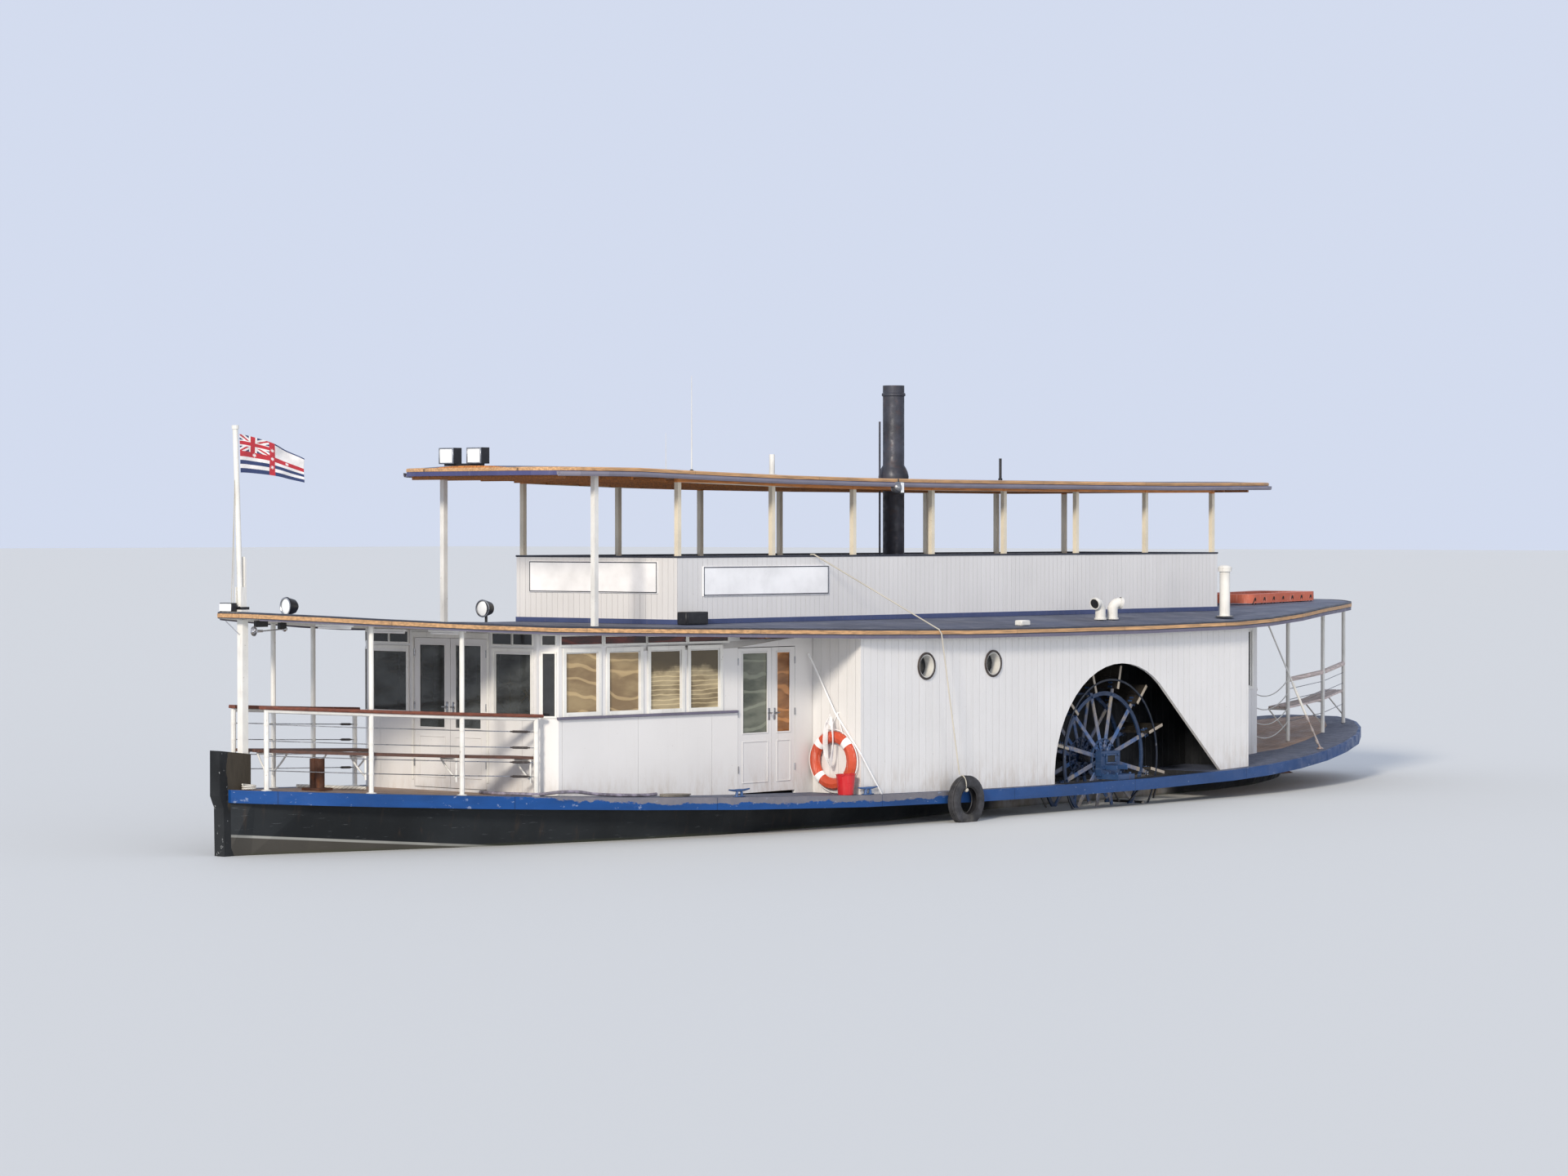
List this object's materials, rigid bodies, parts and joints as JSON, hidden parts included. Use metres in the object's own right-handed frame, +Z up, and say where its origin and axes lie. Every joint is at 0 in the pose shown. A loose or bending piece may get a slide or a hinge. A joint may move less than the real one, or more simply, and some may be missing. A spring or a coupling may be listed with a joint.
{
  "type": "side-wheel paddle steamer",
  "caption": "Shallow-draught river steamboat with paddle wheels at the sides, a long deckhouse, an open upper deck under a canopy, a tall funnel, rudder, doors and a folding mast.",
  "frame": {"origin": "on the centreline, amidships, at the surface of the water that the boat floats on", "axes": "+Z up, +X towards the stern, so the bow points along -X, and +Y to starboard"},
  "size_m": [22.83, 6.01, 6.5],
  "materials": {
    "black_paint": "weathered black hull paint",
    "deck_paint": "worn blue-grey deck paint on boards",
    "blue_paint": "worn blue gloss paint",
    "cream_boards": "warm white paint on vertical boards",
    "soffit_timber": "oiled timber",
    "white_paint": "white gloss paint",
    "rail_timber": "red-brown varnished timber",
    "black_iron": "sooty black iron",
    "shaft_steel": "greased steel",
    "flag_cloth": "woven bunting",
    "rusty_iron": "rusty brown iron",
    "old_tyre": "weathered black tyre",
    "orange_shell": "orange plastic shell",
    "red_pail": "red plastic",
    "window_glass": "clear window glass"
  },
  "bodies": {
    "boat": {"hull": "black_paint", "stem_post": "black_paint", "main_deck": "deck_paint", "rub_strake": "blue_paint", "fore_cabin_front": "cream_boards", "fore_cabin_corner_port": "cream_boards", "fore_cabin_corner_starboard": "cream_boards", "fore_cabin_side_port": "cream_boards", "fore_cabin_side_starboard": "cream_boards", "cabin_bulkhead": "cream_boards", "engine_room_side_port": "cream_boards", "engine_room_side_starboard": "cream_boards", "aft_cabin_wall": "cream_boards", "paddle_box_port": "cream_boards", "paddle_box_starboard": "cream_boards", "lower_roof": "deck_paint", "upper_bulwark": "cream_boards", "canopy": "soffit_timber", "canopy_frame_port": "white_paint", "canopy_frame_starboard": "white_paint", "canopy_prop_port": "white_paint", "canopy_prop_starboard": "white_paint", "bow_rail_port": "white_paint", "bow_rail_starboard": "white_paint", "aft_rail_port": "white_paint", "aft_rail_starboard": "white_paint", "bow_bench_port": "rail_timber", "bow_bench_starboard": "rail_timber", "boiler": "black_iron", "engine": "black_iron", "funnel": "black_iron", "steam_pipe": "black_iron", "wheel_bearing_port": "blue_paint", "wheel_bearing_starboard": "blue_paint", "helm": "rail_timber", "mast_housing": "white_paint", "bow_post": "white_paint", "bow_bollard": "rusty_iron", "tyre_fender": "old_tyre", "life_ring": "orange_shell", "bucket": "red_pail", "cowl_vent_fore": "white_paint", "cowl_vent_aft": "white_paint", "vent_pipe": "white_paint", "life_float": "orange_shell", "search_lamp": "black_iron", "floodlights": "black_iron"},
    "paddle_wheels": {"paddle_wheel_port": "blue_paint", "paddle_wheel_starboard": "blue_paint", "paddle_shaft": "shaft_steel"},
    "rudder": {"rudder": "black_paint"},
    "mast": {"mast": "white_paint", "flag": "flag_cloth"},
    "front_door_port": {"front_door_port": "cream_boards"},
    "front_door_starboard": {"front_door_starboard": "cream_boards"},
    "side_door_fore_port": {"side_door_fore_port": "cream_boards"},
    "side_door_aft_port": {"side_door_aft_port": "cream_boards"},
    "side_door_fore_starboard": {"side_door_fore_starboard": "cream_boards"},
    "side_door_aft_starboard": {"side_door_aft_starboard": "cream_boards"},
    "aft_door": {"aft_door": "cream_boards"}
  },
  "joints": [
    {"name": "wheel_spin", "type": "hinge", "parent": "boat", "child": "paddle_wheels", "pos_m": [2.62, 0, 0.645], "axis": [0, 1, 0], "continuous": true},
    {"name": "rudder_turn", "type": "hinge", "parent": "boat", "child": "rudder", "pos_m": [10.42, 0, 0], "axis": [0, 0, 1], "range_deg": [-35, 35]},
    {"name": "mast_fold", "type": "hinge", "parent": "boat", "child": "mast", "pos_m": [-10.985, 0, 3.035], "axis": [0, -1, 0], "range_deg": [0, 85]},
    {"name": "front_door_port_swing", "type": "hinge", "parent": "boat", "child": "front_door_port", "pos_m": [-7.553, -0.62, 0], "axis": [0, 0, 1], "range_deg": [0, 100]},
    {"name": "front_door_starboard_swing", "type": "hinge", "parent": "boat", "child": "front_door_starboard", "pos_m": [-7.553, 0.62, 0], "axis": [0, 0, -1], "range_deg": [0, 100]},
    {"name": "side_door_fore_port_swing", "type": "hinge", "parent": "boat", "child": "side_door_fore_port", "pos_m": [-4.44, -1.953, 0], "axis": [0, 0, -1], "range_deg": [0, 100]},
    {"name": "side_door_aft_port_swing", "type": "hinge", "parent": "boat", "child": "side_door_aft_port", "pos_m": [-3.34, -1.953, 0], "axis": [0, 0, 1], "range_deg": [0, 95]},
    {"name": "side_door_fore_starboard_swing", "type": "hinge", "parent": "boat", "child": "side_door_fore_starboard", "pos_m": [-4.44, 1.953, 0], "axis": [0, 0, 1], "range_deg": [0, 100]},
    {"name": "side_door_aft_starboard_swing", "type": "hinge", "parent": "boat", "child": "side_door_aft_starboard", "pos_m": [-3.34, 1.953, 0], "axis": [0, 0, -1], "range_deg": [0, 95]},
    {"name": "aft_door_swing", "type": "hinge", "parent": "boat", "child": "aft_door", "pos_m": [7.417, -0.4, 0], "axis": [0, 0, -1], "range_deg": [0, 100]}
  ]
}
